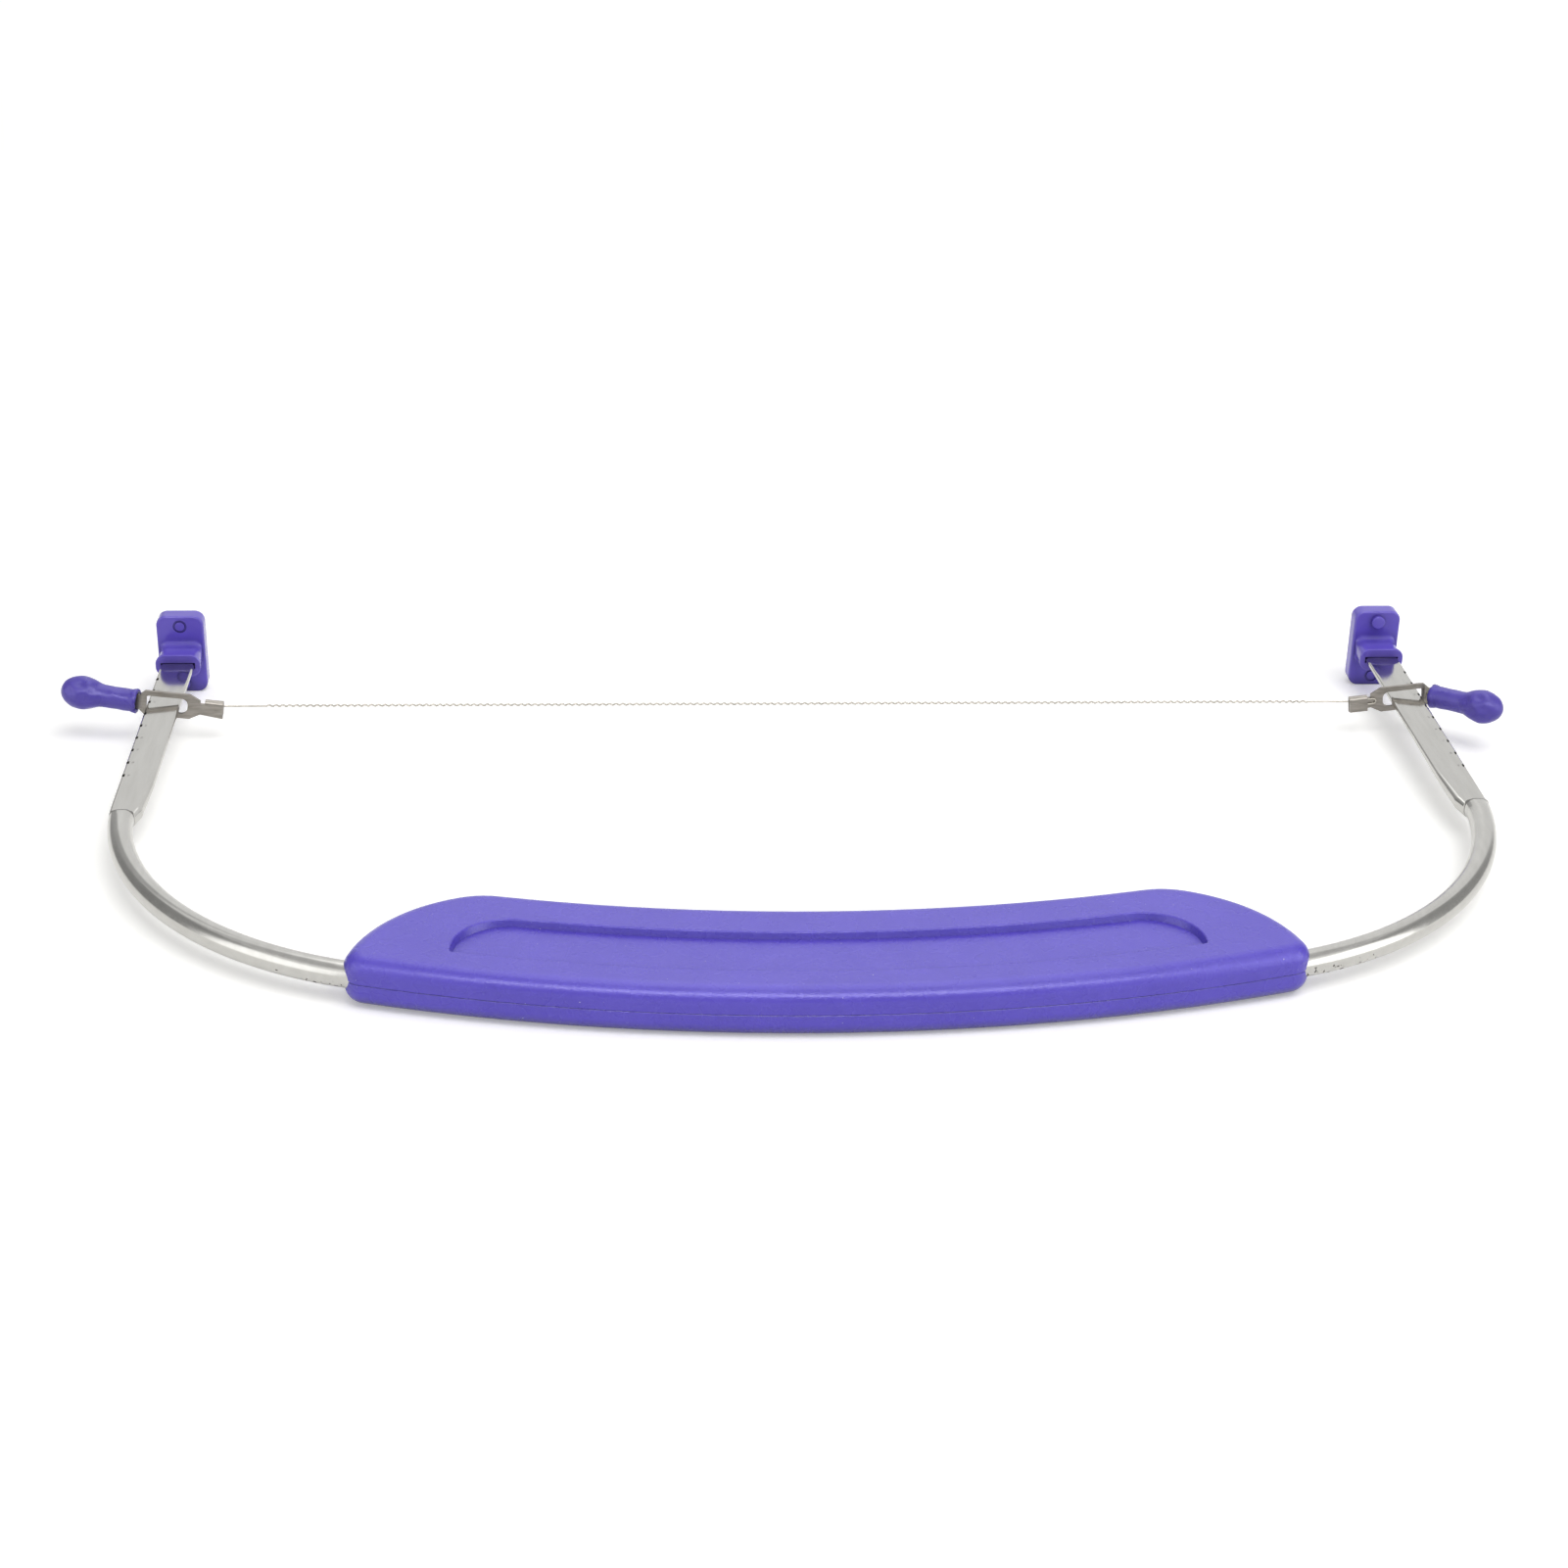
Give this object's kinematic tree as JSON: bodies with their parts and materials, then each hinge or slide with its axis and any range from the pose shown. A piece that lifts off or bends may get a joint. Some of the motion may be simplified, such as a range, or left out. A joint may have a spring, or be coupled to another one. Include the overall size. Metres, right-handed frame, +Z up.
{
  "type": "cake leveler",
  "caption": "Bow-shaped cake leveler: a crinkled cutting wire stretched between two flat notched arms of a steel tube bow, with a curved handle, square feet and pull knobs on the wire clips.",
  "frame": {"origin": "the middle of the underside as the tool lies on a table, below the centre of its bounding box", "axes": "+X across the bow along the cutting wire, +Y from the handle towards the feet, +Z up from the table"},
  "size_m": [0.3018, 0.159, 0.0178],
  "materials": {
    "handle_plastic": "satin purple moulding",
    "foot_plastic": "glossy dark purple moulding",
    "knob_vinyl": "smooth purple soft vinyl",
    "bow_steel": "bright polished steel tube",
    "clip_steel": "dull stamped steel sheet",
    "wire_steel": "stainless wire"
  },
  "bodies": {
    "frame": {"handle_top_shell": "handle_plastic", "handle_bottom_shell": "handle_plastic", "bow_tube": "bow_steel", "left_foot": "foot_plastic", "right_foot": "foot_plastic"},
    "left_clip": {"left_wire_clip": "clip_steel", "left_pull_knob": "knob_vinyl", "cutting_wire": "wire_steel"},
    "right_clip": {"right_wire_clip": "clip_steel", "right_pull_knob": "knob_vinyl"}
  },
  "joints": [
    {"name": "left_clip_travel", "type": "slide", "parent": "frame", "child": "left_clip", "axis": [0, 0.9996, 0.0272], "range_m": [-0.03486, 0.01162]},
    {"name": "right_clip_travel", "type": "slide", "parent": "frame", "child": "right_clip", "axis": [0, 0.9996, 0.0272], "range_m": [-0.03486, 0.01162]}
  ],
  "couplings": [
    {"joint": "right_clip_travel", "follows": "left_clip_travel", "ratio": 1}
  ]
}
